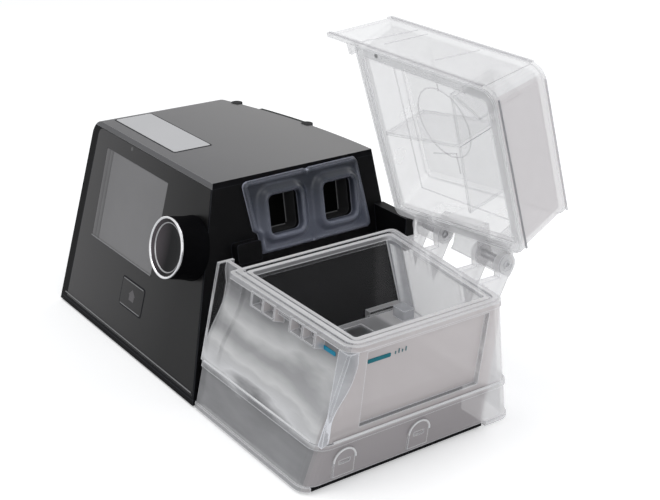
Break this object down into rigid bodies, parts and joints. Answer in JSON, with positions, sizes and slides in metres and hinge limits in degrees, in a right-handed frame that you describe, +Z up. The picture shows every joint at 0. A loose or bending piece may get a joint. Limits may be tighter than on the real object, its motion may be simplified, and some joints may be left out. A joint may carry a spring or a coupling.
{
  "type": "cpap machine",
  "caption": "Bedside breathing-therapy machine: blower unit with display, knob and buttons, docked to a clear slide-out water tank with a hinged lid.",
  "frame": {"origin": "under the middle of the part's box, on the table, with the lid open at rest", "axes": "+X to the right along the front, from blower unit to tank; +Y to the back; +Z up"},
  "size_m": [0.2668, 0.1539, 0.1877],
  "materials": {
    "black_housing": "fine satin",
    "grey_cover": "fine satin",
    "panel_gloss": "polished",
    "rubber": "matt",
    "screw_steel": "bright",
    "screen_glass": "polished",
    "module_metal": "satin",
    "lens": "polished",
    "knob_black": "satin",
    "chrome": "polished",
    "knob_cap": "polished",
    "steel": "turned",
    "board": "solder mask",
    "silver": "satin",
    "silicone": "translucent satin",
    "duct_plastic": "satin",
    "white_plastic": "satin",
    "motor_metal": "satin",
    "foam": "open foam",
    "clear_tank": "clear moulded",
    "clear_lid": "frosted moulded",
    "teal_ink": "printed",
    "clear_silicone": "translucent satin",
    "heater_metal": "satin"
  },
  "bodies": {
    "unit": {"main_housing": "black_housing", "top_cover": "grey_cover", "front_panel": "panel_gloss", "base_tray": "black_housing", "rubber_feet": "rubber", "base_screws": "screw_steel", "display_window": "screen_glass", "display_module": "module_metal", "indicator_lens": "lens", "knob_encoder": "board", "tact_switches": "board", "docking_gasket": "silicone", "duct_block": "duct_plastic", "blower_housing": "white_plastic", "blower_motor": "motor_metal", "circuit_board": "board", "air_filter": "foam", "power_socket": "duct_plastic", "air_outlet": "duct_plastic", "heater_housing": "black_housing", "heater_plate": "heater_metal"},
    "knob_stem": {"knob_shaft": "steel"},
    "knob": {"knob_body": "knob_black", "knob_ring": "chrome", "knob_face": "knob_cap"},
    "home_key": {"home_button": "panel_gloss"},
    "start_key": {"start_button": "silver"},
    "rotor": {"impeller": "white_plastic", "motor_shaft": "steel"},
    "filter_door": {"filter_cover": "black_housing"},
    "card_flap": {"card_cover": "black_housing"},
    "tank": {"tank_body": "clear_tank", "tank_skirt": "clear_tank", "conduction_plate": "steel", "level_marks": "teal_ink", "hinge_pins": "steel"},
    "lid": {"lid_shell": "clear_lid", "lid_seal": "clear_silicone", "lid_baffle": "clear_lid"}
  },
  "joints": [
    {"name": "knob_press", "type": "slide", "parent": "unit", "child": "knob_stem", "axis": [0, 0.9697, -0.2442], "range_m": [0, 0.001], "stiffness_N_per_m": 600},
    {"name": "knob_turn", "type": "hinge", "parent": "knob_stem", "child": "knob", "pos_m": [-0.0031, -0.06597, 0.0776], "axis": [0, -0.9697, 0.2442], "continuous": true},
    {"name": "home_press", "type": "slide", "parent": "unit", "child": "home_key", "axis": [0, 0.9697, -0.2442], "range_m": [0, 0.0008], "stiffness_N_per_m": 600},
    {"name": "start_press", "type": "slide", "parent": "unit", "child": "start_key", "axis": [0, 0, -1], "range_m": [0, 0.0008], "stiffness_N_per_m": 800},
    {"name": "impeller_spin", "type": "hinge", "parent": "unit", "child": "rotor", "pos_m": [-0.0741, -0.0032, 0.04], "axis": [0, 0, 1], "continuous": true},
    {"name": "filter_pull", "type": "slide", "parent": "unit", "child": "filter_door", "axis": [0, 1, 0], "range_m": [0, 0.02]},
    {"name": "card_flap_hinge", "type": "hinge", "parent": "unit", "child": "card_flap", "pos_m": [-0.13095, 0.0178, 0.0313], "axis": [0, -1, 0], "range_deg": [0, 90]},
    {"name": "tank_slide", "type": "slide", "parent": "unit", "child": "tank", "axis": [1, 0, 0], "range_m": [0, 0.11]},
    {"name": "lid_hinge", "type": "hinge", "parent": "tank", "child": "lid", "pos_m": [0.0579, 0.0528, 0.082], "axis": [1, 0, 0], "range_deg": [-8, 72]}
  ]
}
